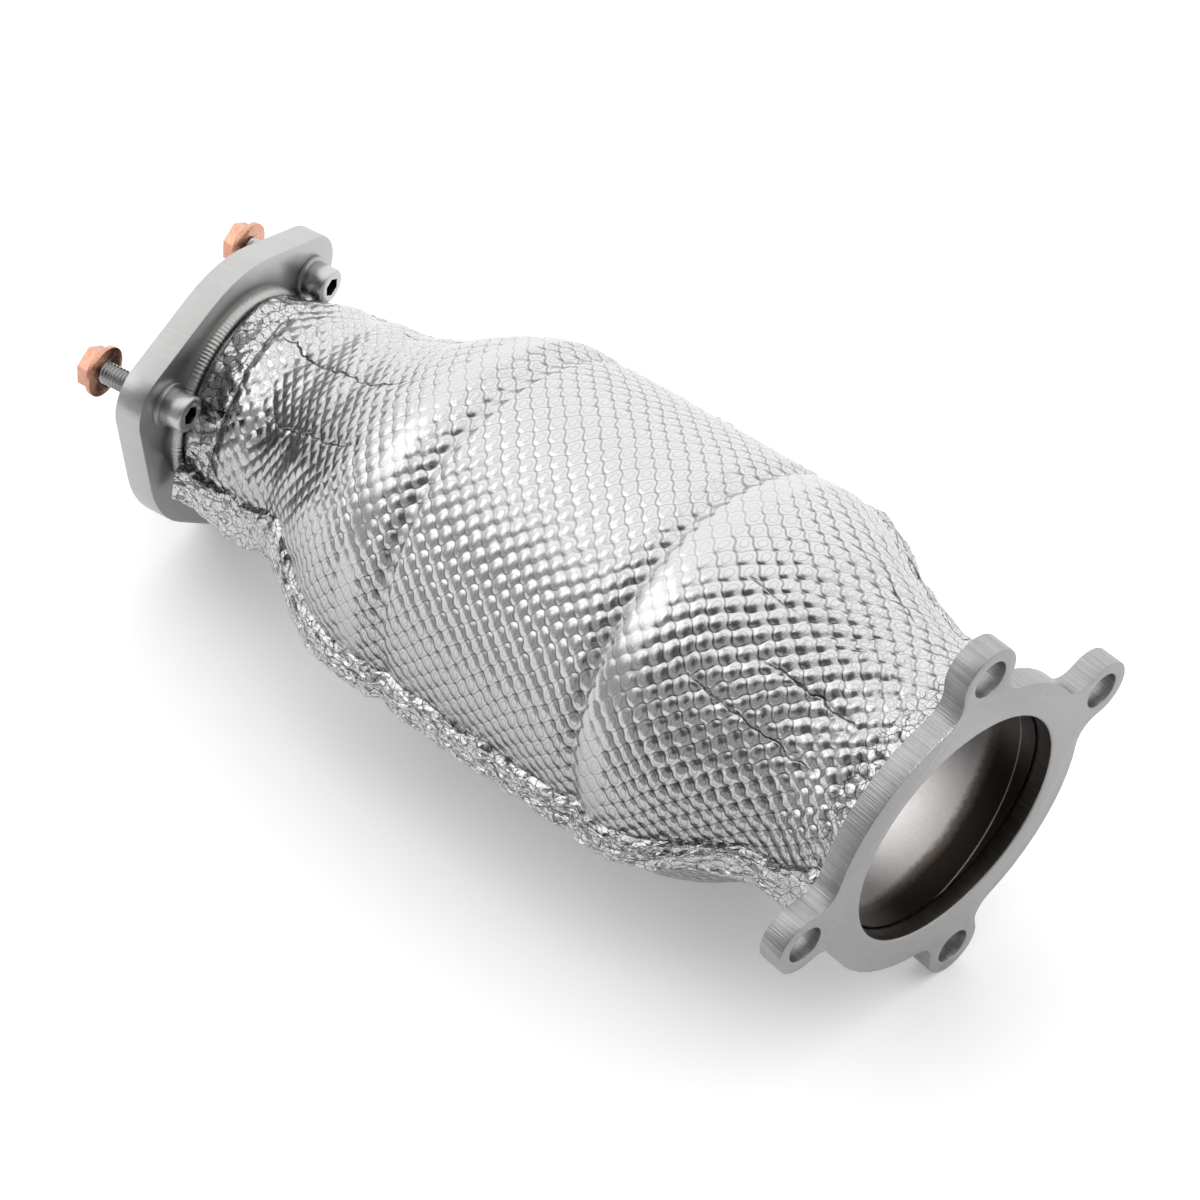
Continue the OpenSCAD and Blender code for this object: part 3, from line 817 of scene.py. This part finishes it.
@dataclass(frozen=True)
class FoilFinish:
    """Bright pressed aluminium foil, read from the sheet's own map in mm and its marks, with
    painted shade in its valleys, folds and creases and over its lower side.
    """

    name: str = "pressed_foil"
    colour: Triple = (0.575, 0.577, 0.581)
    roughness: float = 0.2
    emboss: float = 0.34
    crinkle: float = 0.34

    def build(self, grain: NodeTree, shield: FoilShield) -> Material:
        """Makes the material."""
        material, n, shader = new_material(self.name)
        place = n.add("UVMap", uv_map="sheet")[0]
        press, crush, side, near, under = (n.add("Attribute", attribute_name=k)["Fac"]
                                           for k in ("press", "crush", "side", "near", "under"))
        fine = n.add("Group", {"Vector": place, "Scale": 1.3, "Patch": 0.09}, node_tree=grain)
        mask = fine["Mask"]
        domes = n.add("Group", {"Vector": place},
                      node_tree=embossing_group(shield.pitch_x, shield.pitch_a))
        crinkle = crinkle_group()
        large, small = (n.add("Group", {"Vector": place, "Size": size}, node_tree=crinkle)
                        for size in (4.0, 2.0))

        fold = n.span(abs(side), 0.15, 0.55, 1.0, 0.0) * (near * 1.6).at_most(1.0)
        fold = fold * n.span(mask, 0.4, 0.54, 0.55, 1.0, "LINEAR")
        crumpled = large["Height"] * 0.5 + small["Height"] * 0.22
        height = domes["Height"] * press * self.emboss + crumpled * crush * self.crinkle
        height = height - fold * 0.25 + fine["Height"] * 0.03
        bump = n.add("Bump", {"Height": height, "Strength": 1.0, "Distance": MM})[0]

        # Painted shade: dark lines in the embossing's valleys, the crushed folds and the pressed
        # creases, stronger on the lower side.
        wrinkle_shade = large["Line"].at_least(small["Line"] * 0.7)
        lines = domes["Line"] * 0.6 * (press + 0.3).at_most(1.5) * (mask + 0.35 + under * 0.6)
        lines = lines.at_least(wrinkle_shade * crush * 0.82).at_least(fold * 0.9)
        tone = n.ramp(mask, ((0.3, tuple(c * 0.93 for c in self.colour)), (0.7, self.colour)))
        # Painted shade: the lower side is darker overall, and its lines are deeper.
        tone = n.vector("MULTIPLY", tone, (1.0 - lines) * (1.0 - under * 0.16))
        rough = n.span(mask, 0.3, 0.7, self.roughness - 0.03, self.roughness + 0.05, "LINEAR")
        rough = rough - (press - 1.0).at_least(crush) * 0.09
        n.feed(shader, {"Metallic": 1.0, "Base Color": tone, "Roughness": rough, "Normal": bump})
        return material


@dataclass(frozen=True)
class SteelFinish:
    """Worked steel: satin faces and cut edges with fine lines along one direction.

    The zone of heat tint and painted shade near the mouth is given by the stations in m where it
    starts and is full, and the recess colour is painted shade for the faces marked as a recess.
    """

    name: str
    colour: Triple
    roughness: float
    axis: Triple = (1.0, 0.0, 0.0)
    lines: float = 0.0
    line_scale: float = 900.0
    grain: float = 0.06
    metallic: float = 1.0
    contrast: float = 0.12
    tint_and_shade: Pair | None = None
    recess_shade: Triple | None = None

    def _darken_mouth(self, n: Nodes, place: Signal, mask: Signal, tone: Signal) -> Signal:
        """Darkens the tone towards the mouth past the zone's border, as heat tint and painted
        shade, and adds a brown ring near the mouth.
        """
        at = n.add("SeparateXYZ", {0: place})[0]
        # Heat tint and painted shade: dark brown towards the mouth, where the wall lies in shadow.
        tint = n.span(at + (mask - 0.5) * 0.006, *self.tint_and_shade, kind="LINEAR")
        tint = n.ramp(tint, ((0.0, 1.0), (0.4, (0.33, 0.29, 0.26)), (1.0, (0.06, 0.048, 0.04))))
        ring = n.math("COMPARE", at, -0.0078, 0.00022)
        return n.add("Mix", {0: ring, 6: n.vector("MULTIPLY", tone, tint),
                             7: (0.33, 0.26, 0.2, 1)}, data_type="RGBA")[2]

    def _brushed(self, n: Nodes, source: Outputs) -> Signal:
        """Fine lines along the axis, on the faces that don't face it."""
        turn = Vector(self.axis).rotation_difference(Vector((0, 0, 1))).to_euler()
        flat = n.add("Mapping", {"Vector": source["Object"], "Rotation": turn})[0]
        thin = n.add("Mapping", {"Vector": flat, "Scale": (1.0, 1.0, 0.02)})[0]
        streak = n.add("TexNoise", {"Vector": thin, "Scale": self.line_scale, "Detail": 2.0})[0]
        cut = 1.0 - abs(n.vector("DOT_PRODUCT", source["Normal"], self.axis))
        return (streak - 0.5) * (n.math("GREATER_THAN", cut, 0.5) * self.lines)

    def build(self, grain: NodeTree) -> Material:
        """Makes the material on Object coordinates."""
        material, n, shader = new_material(self.name)
        source = n.add("TexCoord")
        place = source["Object"]
        fine = n.add("Group", {"Vector": place, "Scale": 700.0, "Patch": 35.0}, node_tree=grain)
        mask, height = fine["Mask"], fine["Height"]
        dark = tuple(c * (1 - self.contrast) for c in self.colour)
        tone = n.ramp(mask, ((0.32, dark), (0.68, self.colour)))
        # Painted shade in the recesses: dark brown in the inlet's bore, black in the screw sockets.
        if self.recess_shade:
            recess = n.add("Attribute", attribute_name="recess")["Fac"]
            tone = n.add("Mix", {0: recess, 6: tone, 7: (*self.recess_shade, 1)}, data_type="RGBA")[2]
        if self.tint_and_shade:
            tone = self._darken_mouth(n, place, mask, tone)
        if self.lines:
            line = self._brushed(n, source)
            height = height + line * 14.0
            tone = n.vector("MULTIPLY", tone, 1.0 + line * 0.9)
        rough = n.span(mask, 0.3, 0.7, self.roughness - 0.04, self.roughness + 0.06, "LINEAR")
        bump = n.add("Bump", {"Height": height, "Strength": self.grain, "Distance": 0.0004})[0]
        n.feed(shader, {"Metallic": self.metallic, "Base Color": tone, "Roughness": rough,
                        "Normal": bump})
        return material


def softened(node: str, bevel: float, segments: int = 2,
             smooth: float = 24.0) -> Piece:
    """Copies a CAD node and rounds its sharp edges a little.

    Args:
        node: name of the CAD node.
        bevel: width of the rounding in mm.
        segments: faces across a rounding.
        smooth: angle under which edges are shaded smooth.

    Returns:
        The piece that stands for the node.
    """
    bm = bmesh.new()
    bm.from_mesh(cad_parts[node].data)
    bmesh.ops.remove_doubles(bm, verts=bm.verts, dist=MERGE / 2)
    bmesh.ops.dissolve_limit(bm, angle_limit=math.radians(1.0), verts=bm.verts, edges=bm.edges)
    limit = math.radians(32)
    sharp = [e for e in bm.edges if len(e.link_faces) == 2 and e.calc_face_angle(0) > limit]
    bmesh.ops.bevel(bm, geom=sharp, offset=bevel * MM, offset_type="OFFSET", segments=segments,
                    profile=0.5, affect="EDGES", material=-1, clamp_overlap=True)
    return new_piece(node + "_worked", bm, [node], smooth)


def mark_recess(piece: Piece, back: Matrix, radius: float, above: float = -math.inf) -> Piece:
    """Marks the faces close round a hole's axis, for painted shade in the recess.

    Args:
        piece: piece with the hole.
        back: turns world places into the hole's frame, Z along its axis.
        radius: faces wholly within this many mm of the axis are marked.
        above: and above this height in mm.

    Returns:
        The same piece.
    """
    mark = piece.data.attributes.new("recess", "FLOAT", "FACE")
    for face in piece.data.polygons:
        spots = [back @ piece.data.vertices[v].co / MM for v in face.vertices]
        inside = all(math.hypot(p.x, p.y) < radius and p.z > above for p in spots)
        mark.data[face.index].value = float(inside)
    return piece


@dataclass
class Cone:
    """Smooth sheet cone that follows the centre line."""

    node: str
    start: float
    end: float
    slot: str
    form: BodyForm = FORM

    def build(self, material: Material) -> Piece:
        """Makes the closed wall: u round it, v along the outside and back along the inside."""
        f = self.form
        length = self.end - self.start

        def place(u: Array, v: Array) -> Array:
            """Points of the wall."""
            w = v * 2
            x = self.start + length * np.where(w <= 1, w, 2 - w)
            inner = np.clip((w - 0.98) / 0.02, 0, 1) * np.clip((2 - w) / 0.02, 0, 1)
            return f.spot(x, f.steel_r(x) - f.sheet * inner, -u * 360)

        bm = mapped_sheet(144, 100, place, wrap_u=True, wrap_v=True)
        bmesh.ops.recalc_face_normals(bm, faces=bm.faces)
        piece = new_piece(self.node + "_sheet", bm, [self.node], smooth=50)
        return wear(piece, material)


@dataclass
class WeldRing:
    """Rippled weld bead round a tube."""

    node: str
    centre: Triple
    axis: Array
    radius: float
    width: float
    height: float
    ripples: int = 170

    def build(self, material: Material) -> Piece:
        """Makes the bead: u round the tube, v round the section, with a scale per ripple."""
        n = self.axis
        side, lift = square_to(n)

        def place(u: Array, v: Array) -> Array:
            """Points of the bead."""
            t = v * math.tau
            turn = np.exp(1j * math.tau * np.where(u > LAST, 0.0, u)) * self.radius
            step = (u * self.ripples + 0.5 * ripple(turn.real, turn.imag, 9, 9)) % 1.0
            lean = np.sin(t) * 0.12
            scale = (step + lean) % 1.0
            swell = 0.93 + 0.05 * np.sin(math.pi * scale)
            swell = swell + 0.05 * ripple(turn.real, turn.imag, 27, 8)
            out = self.width * np.clip(np.cos(t), 0, 1) ** 0.9 * swell
            up = self.height * np.clip(np.sin(t), 0, 1) ** 0.9 * swell
            a = u * math.tau
            ring = side * np.cos(a)[..., None] + lift * np.sin(a)[..., None]
            away = ring * (self.radius + out)[..., None]
            return np.asarray(self.centre) + away + n * up[..., None]

        bm = mapped_sheet(self.ripples * 5, 14, place, wrap_u=True, wrap_v=True)
        bmesh.ops.dissolve_degenerate(bm, edges=bm.edges, dist=MERGE)
        bmesh.ops.recalc_face_normals(bm, faces=bm.faces)
        piece = new_piece(self.node + "_bead", bm, [self.node], smooth=70)
        return wear(piece, material)


@dataclass
class CellBlock:
    """Catalyst block with fine square cells."""

    form: BodyForm = FORM
    pitch: float = 2.3
    wall: float = 0.28
    depth: float = 7.0
    inset: float = 6.0

    def build(self, material: Material) -> Piece:
        """Makes a round block whose two ends are sunk cell by cell."""
        f = self.form
        radius = f.can_r - f.sheet - 0.2
        bm = bmesh.new()
        count = int(2 * radius / self.pitch)
        for x, facing in ((f.can0 + self.inset, -1), (f.can1 - self.inset, 1)):
            made = bmesh.ops.create_grid(bm, x_segments=count, y_segments=count,
                                         size=count * self.pitch * MM / 2)["verts"]
            out = [v for v in made if v.co.length > (radius - 1.5) * MM]
            bmesh.ops.delete(bm, geom=out, context="VERTS")
            made = [v for v in made if v.is_valid]
            faces = list({face for v in made for face in v.link_faces})
            turn = Matrix.Rotation(math.radians(90 * facing), 4, "Y")
            move = Matrix.Translation(Vector((x, f.axis_y, f.axis_z)) * MM)
            bmesh.ops.transform(bm, matrix=move @ turn, verts=made)
            bmesh.ops.inset_individual(bm, faces=faces, thickness=self.wall * MM / 2,
                                       use_even_offset=True)
            cells = bmesh.ops.extrude_discrete_faces(bm, faces=faces)["faces"]
            sunk = list({v for c in cells for v in c.verts})
            bmesh.ops.translate(bm, verts=sunk, vec=Vector((-facing * self.depth * MM, 0, 0)))
        length = f.can1 - f.can0 - 2 * self.inset
        rim = bmesh.ops.create_circle(bm, cap_ends=False, radius=radius * MM, segments=96)["verts"]
        first = (f.can0 + f.can1) / 2 - length / 2
        move = Matrix.Translation(Vector((first, f.axis_y, f.axis_z)) * MM)
        bmesh.ops.transform(bm, verts=rim, matrix=move @ Matrix.Rotation(math.pi / 2, 4, "Y"))
        ring = list({e for v in rim for e in v.link_edges})
        wall = bmesh.ops.extrude_edge_only(bm, edges=ring)["geom"]
        moved = [g for g in wall if isinstance(g, bmesh.types.BMVert)]
        bmesh.ops.translate(bm, verts=moved, vec=Vector((length * MM, 0, 0)))
        piece = new_piece("catalyst_cells", bm, ["catalyst_core"], 30)
        return wear(piece, material)


@dataclass
class Fixings:
    """The three screws, washers and nuts of the outlet plate."""

    form: BodyForm = FORM
    count: int = 3
    thread_p: float = 1.25
    thread: Pair = (-12.2, -33.0)
    circle_r: float = 47.0
    start: float = 30.9
    socket_r: float = 3.6
    core_r: float = 3.3
    ridge: Pair = (3.25, 3.92)
    steps: int = 28

    def _bolt(self, i: int) -> Matrix:
        """Frame of bolt i: Z along the plate normal, in metres."""
        f = self.form
        n = f.n_out
        side, lift = square_to(n)
        a = math.radians(self.start + 360 / self.count * i)
        out = side * math.cos(a) + lift * math.sin(a)
        across = np.cross(n, out)
        place = (np.asarray(f.outlet_c) + out * self.circle_r) * MM
        basis = Matrix((out, across, n)).transposed().to_4x4()
        return Matrix.Translation(Vector(place)) @ basis

    def build_thread(self, i: int) -> Piece:
        """Spins a ridge round the shank as a helix."""
        bm = bmesh.new()
        top, end = self.thread
        turns = int((top - end) / self.thread_p) - 1
        foot, crest = self.ridge
        profile = ((foot, 0.0), (crest, 0.5 * self.thread_p), (foot, self.thread_p * 0.98))
        verts = [bm.verts.new((x * MM, 0, (end + z) * MM)) for x, z in profile]
        edges = [bm.edges.new((verts[k], verts[k + 1])) for k in range(2)]
        bmesh.ops.spin(bm, geom=verts + edges, cent=(0, 0, 0), axis=(0, 0, 1),
                       dvec=(0, 0, self.thread_p * MM / self.steps),
                       angle=math.tau * turns, steps=self.steps * turns)
        bmesh.ops.transform(bm, matrix=self._bolt(i), verts=bm.verts)
        bmesh.ops.recalc_face_normals(bm, faces=bm.faces)
        return new_piece(f"thread_{i + 1}", bm, [f"cap_screw_{i + 1}"], smooth=50)

    def finish_screw(self, screw: Piece, i: int) -> Piece:
        """Turns the threaded end down to its core, and marks the socket for painted shade."""
        bolt = self._bolt(i)
        back, core = bolt.inverted(), self.core_r
        for vert in screw.data.vertices:
            p = back @ vert.co / MM
            r = math.hypot(p.x, p.y)
            if r > core and p.z < self.thread[0]:
                vert.co = bolt @ (Vector((p.x * core / r, p.y * core / r, p.z)) * MM)
        return mark_recess(screw, back, self.socket_r, 0.0)

    def build(self, steel: Material, washer: Material,
              copper: Material) -> list[Piece]:
        """Makes and dresses all fixings."""
        pieces = []
        for i in range(self.count):
            screw = self.finish_screw(softened(f"cap_screw_{i + 1}", 0.22), i)
            pieces += [wear(screw, steel),
                       wear(softened(f"washer_{i + 1}", 0.2), washer),
                       wear(softened(f"nut_{i + 1}", 0.3), copper),
                       wear(self.build_thread(i), steel)]
        return pieces


@dataclass(frozen=True)
class Glow:
    """A soft patch of the surround: direction, cosines where it starts and is full, and gain."""

    way: Triple
    start: float
    full: float
    gain: float


@dataclass
class Studio:
    """Pale floor, a graded surround like a ring of soft boxes, and the camera."""

    lens: float = 84.594
    place: Triple = (0.308306, -0.477878, 0.588714)
    look: Triple = (-0.51066, 0.54318, -0.66647)
    floor_tilt: float = 1.32
    floor_size: Pair = (1.5, 1.35)
    floor_near: float = 0.235
    floor_middle: float = -0.15
    floor_gap: float = 0.0002
    floor_glow: float = 0.17
    lamp_power: float = 1300.0
    lamp_spread: float = 0.032
    lamp_aim: Triple = (-0.0527, 0.0215, -0.0355)
    lamp_from: Triple = (0.7, -0.3, 0.65)
    lamp_far: float = 1.3
    dark: float = 0.51
    glows: tuple[Glow, ...] = (
        Glow((-0.27, 0.68, 0.68), -0.3, 0.75, 1.0),
        Glow((-0.56, -0.50, 0.66), 0.9, 0.985, 0.95),
    )
    shade: Glow = Glow((0.46, -0.62, 0.62), 0.8, 0.975, 0.78)

    def build_floor(self) -> None:
        """Lays a pale table under the two lowest ears, a little past the picture's edges."""
        bm = bmesh.new()
        bmesh.ops.create_grid(bm, x_segments=1, y_segments=1, size=1.0)
        wide, deep = self.floor_size
        size = Matrix.Diagonal((wide, deep, 1.0, 1.0))
        ahead = Matrix.Translation((0, deep - self.floor_near, 0))
        turn = Matrix.Rotation(math.atan2(-self.look[0], self.look[1]), 4, "Z")
        tilt = Matrix.Rotation(math.radians(self.floor_tilt), 4, "Y")
        middle = Matrix.Translation((self.floor_middle, 0, 0))
        lower = Matrix.Translation((0, 0, CAD_BOX[0][2] - self.floor_gap))
        bmesh.ops.transform(bm, matrix=lower @ tilt @ middle @ turn @ ahead @ size, verts=bm.verts)
        mesh = bpy.data.meshes.new("floor")
        bm.to_mesh(mesh)
        bm.free()
        floor = placed("floor", mesh)
        material, n, shader = new_material("pale_floor")
        n.feed(shader, {"Base Color": (0.95, 0.95, 0.95, 1), "Roughness": 0.9,
                        "Specular IOR Level": 0.0, "Emission Color": (1, 1, 1, 1),
                        "Emission Strength": seen_directly(n) * self.floor_glow})
        floor.data.materials.append(material)

    def build_surround(self) -> None:
        """Grades the world from a bright back and top to a dim front, white to the camera."""
        world = bpy.data.worlds.new("surround")
        world.use_nodes = True
        n = Nodes(world.node_tree)
        way = n.add("TexCoord")["Generated"]

        def patch(glow: Glow) -> Signal:
            """Smooth patch from 0 to the glow's gain."""
            near = n.vector("DOT_PRODUCT", way, tuple(Vector(glow.way).normalized()))
            return n.span(near, glow.start, glow.full, 0.0, glow.gain)

        total = self.dark
        for glow in self.glows:
            total = total + patch(glow)
        total = total * (1.0 - patch(self.shade))
        direct = n.add("LightPath")["Is Camera Ray"]
        total = n.add("Mix", {0: direct, 2: total, 3: 1.0})[0]
        n.feed(world.node_tree.nodes["Background"], {"Color": total, "Strength": 1.0})
        bpy.context.scene.world = world

    def build_lamp(self) -> None:
        """Aims a narrow lamp into the inlet, so that the inside of the cone can be seen."""
        lamp = bpy.data.lights.new("bore_lamp", "SPOT")
        lamp.energy, lamp.spot_size = self.lamp_power, self.lamp_spread
        lamp.spot_blend, lamp.shadow_soft_size = 1.0, 0.02
        holder = placed("bore_lamp", lamp)
        away = Vector(self.lamp_from) * self.lamp_far
        holder.location = Vector(self.lamp_aim) + away
        holder.rotation_euler = (-away).to_track_quat("-Z", "Y").to_euler()

    def build_camera(self) -> None:
        """Sets the camera at the photograph's viewpoint."""
        camera = bpy.data.cameras.new("camera")
        camera.lens, camera.sensor_width, camera.clip_start = self.lens, 36.0, 0.01
        holder = placed("camera", camera)
        holder.location = self.place
        holder.rotation_euler = Vector(self.look).to_track_quat("-Z", "Y").to_euler()
        bpy.context.scene.camera = holder

    def build(self) -> None:
        """Makes the whole stage."""
        self.build_camera()
        self.build_floor()
        self.build_surround()
        self.build_lamp()
        bpy.context.scene.view_settings.view_transform = "Standard"


def seen_directly(n: Nodes) -> Signal:
    """Mask of camera, mirror and glass rays."""
    path = n.add("LightPath")
    mirrored = path["Is Glossy Ray"].at_least(path["Is Transmission Ray"])
    return path["Is Camera Ray"].at_least(mirrored)


FINISHES = (
    # The recess colours below are painted shade: the inlet's bore and the screw sockets.
    SteelFinish("inlet_plate_steel", (0.37, 0.37, 0.37), 0.4, tuple(FORM.n_in), 0.8, 1500.0,
                grain=0.14, contrast=0.2, recess_shade=(0.1, 0.088, 0.078)),
    SteelFinish("outlet_plate_steel", (0.46, 0.46, 0.455), 0.36, tuple(FORM.n_out), 0.15),
    SteelFinish("weld_steel", (0.46, 0.455, 0.445), 0.3, grain=0.2, contrast=0.3),
    SteelFinish("tube_steel", (0.5, 0.49, 0.48), 0.28),
    # The inner cone is darkened towards its mouth by heat tint and painted shade.
    SteelFinish("inner_steel", (0.3, 0.29, 0.285), 0.3, metallic=0.5, contrast=0.2,
                tint_and_shade=(-0.0205, -0.0155)),
    SteelFinish("screw_steel", (0.5, 0.5, 0.5), 0.27, recess_shade=(0.03, 0.03, 0.03)),
    SteelFinish("washer_steel", (0.42, 0.42, 0.42), 0.34),
    SteelFinish("copper_plate", (0.8, 0.42, 0.29), 0.26, grain=0.25, contrast=0.5),
    SteelFinish("catalyst_matrix", (0.2, 0.18, 0.16), 0.8, metallic=0.0),
    SteelFinish("insulation_mat", (0.8, 0.78, 0.73), 0.95, metallic=0.0),
)
UNCHANGED = {"body_tube": "tube_steel", "outlet_tube": "tube_steel",
             "inlet_cone_weld": "weld_steel", "outlet_cone_weld": "weld_steel",
             "outlet_tube_weld": "weld_steel",
             "insulation_upper": "insulation_mat", "insulation_lower": "insulation_mat"}


def main() -> None:
    """Builds the stage, then each sub-assembly in order."""
    logging.basicConfig(level=logging.INFO, format="%(name)s: %(message)s")
    Studio().build()
    grain = grain_group()
    shield = FoilShield()
    foil = FoilFinish().build(grain, shield)
    look = {finish.name: finish.build(grain) for finish in FINISHES}
    weld = look["weld_steel"]

    pieces = shield.build(foil)
    plate = softened("inlet_flange", 0.35)
    f = FORM
    # Marks the inlet's bore for painted shade.
    back = Vector((0, 0, 1)).rotation_difference(Vector(f.n_in)).to_matrix().to_4x4().inverted()
    narrow = min(math.hypot(*(back @ v.co)[:2]) for v in plate.data.vertices) / MM
    pieces.append(wear(mark_recess(plate, back, narrow + 0.2), look["inlet_plate_steel"]))
    plate = softened("outlet_flange", 0.5)
    pieces.append(wear(plate, look["outlet_plate_steel"]))
    pieces += [
        Cone("inlet_cone", f.can1 + 1.5, -6 * f.n_in[0], "inner_steel").build(look["inner_steel"]),
        Cone("outlet_cone", f.bend_out + 1.5, f.can0 - 1.5, "tube_steel").build(look["tube_steel"]),
        WeldRing("outlet_weld", f.outlet_c, f.n_out, f.tube_r, 3.5, 3.6).build(weld),
        WeldRing("inlet_weld", tuple(-8 * f.n_in), -f.n_in, f.inlet_r + 0.95, 2.6, 2.8).build(weld),
        CellBlock().build(look["catalyst_matrix"]),
    ]
    pieces += Fixings().build(look["screw_steel"], look["washer_steel"], look["copper_plate"])
    pieces += [wear(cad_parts[name], look[finish]) for name, finish in UNCHANGED.items()]
    for piece in pieces:
        LOG.info("%s: %d faces, %s", piece.name, len(piece.data.polygons),
                 piece.data.materials[0].name)


if __name__ == "__main__":
    main()
